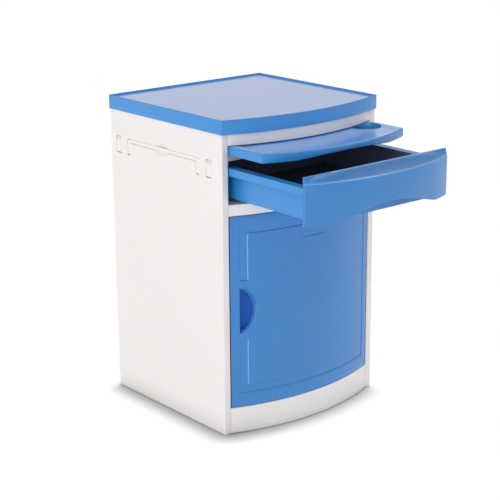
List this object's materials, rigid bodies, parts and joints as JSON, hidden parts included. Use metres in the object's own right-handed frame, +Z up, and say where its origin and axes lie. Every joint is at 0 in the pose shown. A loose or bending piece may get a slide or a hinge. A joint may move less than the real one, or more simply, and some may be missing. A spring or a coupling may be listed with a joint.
{
  "type": "hospital bedside cabinet",
  "caption": "Hospital bedside cabinet with a tray top, pull-out dining board, drawer, hinged door, and a fold-out towel bar and hooks on each side.",
  "frame": {"origin": "middle of the bounding box's bottom, on the floor, with the drawer drawn out 258 mm and the board 116 mm", "axes": "+X to the right as seen from the front, +Y to the back, +Z up; the front faces -Y"},
  "size_m": [0.486, 0.741, 0.76],
  "materials": {
    "white_abs": "satin moulded plastic",
    "blue_abs": "satin moulded plastic",
    "deep_blue_abs": "satin moulded plastic",
    "runner_plastic": "low-friction plastic",
    "steel": "zinc plated",
    "rubber": "matte",
    "magnet_black": "matte"
  },
  "bodies": {
    "carcass": {"back_panel": "white_abs", "back_screw_lower_left": "steel", "back_screw_lower_right": "steel", "back_screw_upper_left": "steel", "back_screw_upper_right": "steel", "board_runner_left": "runner_plastic", "board_runner_right": "runner_plastic", "cupboard_floor": "white_abs", "cupboard_shelf": "white_abs", "drawer_deck": "white_abs", "drawer_runner_left": "runner_plastic", "drawer_runner_right": "runner_plastic", "foot_front_left": "rubber", "foot_front_right": "rubber", "foot_rear_left": "rubber", "foot_rear_right": "rubber", "hinge_pin_bottom": "steel", "hinge_pin_top": "steel", "lower_rail": "white_abs", "magnet_catch": "magnet_black", "middle_rail": "white_abs", "pin_left_bar_front": "steel", "pin_left_bar_rear": "steel", "pin_left_hook_front": "steel", "pin_left_hook_rear": "steel", "pin_right_bar_front": "steel", "pin_right_bar_rear": "steel", "pin_right_hook_front": "steel", "pin_right_hook_rear": "steel", "plinth": "white_abs", "shelf_stud_left_front": "steel", "shelf_stud_left_rear": "steel", "shelf_stud_right_front": "steel", "shelf_stud_right_rear": "steel", "side_panel_left": "white_abs", "side_panel_right": "white_abs", "top_rail": "white_abs", "top_tray": "blue_abs"},
    "board": {"dining_board": "blue_abs"},
    "door": {"door_liner": "blue_abs", "door_shell": "blue_abs", "handle_cup": "deep_blue_abs", "hinge_bush_bottom": "runner_plastic", "hinge_bush_top": "runner_plastic", "strike_plate": "steel"},
    "drawer": {"drawer_box": "blue_abs", "drawer_front": "blue_abs", "front_screw_lower_left": "steel", "front_screw_lower_right": "steel", "front_screw_upper_left": "steel", "front_screw_upper_right": "steel"},
    "hook_left_front": {"hook_left_front": "white_abs"},
    "hook_left_rear": {"hook_left_rear": "white_abs"},
    "hook_right_front": {"hook_right_front": "white_abs"},
    "hook_right_rear": {"hook_right_rear": "white_abs"},
    "towel_bar_left": {"towel_bar_left": "white_abs"},
    "towel_bar_right": {"towel_bar_right": "white_abs"}
  },
  "joints": [
    {"name": "drawer_slide", "type": "slide", "parent": "carcass", "child": "drawer", "axis": [0, -1, 0], "range_m": [-0.258, 0.045]},
    {"name": "board_slide", "type": "slide", "parent": "carcass", "child": "board", "axis": [0, -1, 0], "range_m": [-0.116, 0.15]},
    {"name": "door_hinge", "type": "hinge", "parent": "carcass", "child": "door", "pos_m": [0.2055, -0.063, 0.3], "axis": [0, 0, 1], "range_deg": [0, 95]},
    {"name": "towel_bar_left_fold", "type": "hinge", "parent": "carcass", "child": "towel_bar_left", "pos_m": [-0.2355, 0.157, 0.6255], "axis": [0, -1, 0], "range_deg": [0, 90]},
    {"name": "hook_left_front_fold", "type": "hinge", "parent": "carcass", "child": "hook_left_front", "pos_m": [-0.2355, -0.0205, 0.6255], "axis": [0, -1, 0], "range_deg": [0, 60]},
    {"name": "hook_left_rear_fold", "type": "hinge", "parent": "carcass", "child": "hook_left_rear", "pos_m": [-0.2355, 0.3345, 0.6255], "axis": [0, -1, 0], "range_deg": [0, 60]},
    {"name": "towel_bar_right_fold", "type": "hinge", "parent": "carcass", "child": "towel_bar_right", "pos_m": [0.2355, 0.157, 0.6255], "axis": [0, 1, 0], "range_deg": [0, 90]},
    {"name": "hook_right_front_fold", "type": "hinge", "parent": "carcass", "child": "hook_right_front", "pos_m": [0.2355, -0.0205, 0.6255], "axis": [0, 1, 0], "range_deg": [0, 60]},
    {"name": "hook_right_rear_fold", "type": "hinge", "parent": "carcass", "child": "hook_right_rear", "pos_m": [0.2355, 0.3345, 0.6255], "axis": [0, 1, 0], "range_deg": [0, 60]}
  ]
}
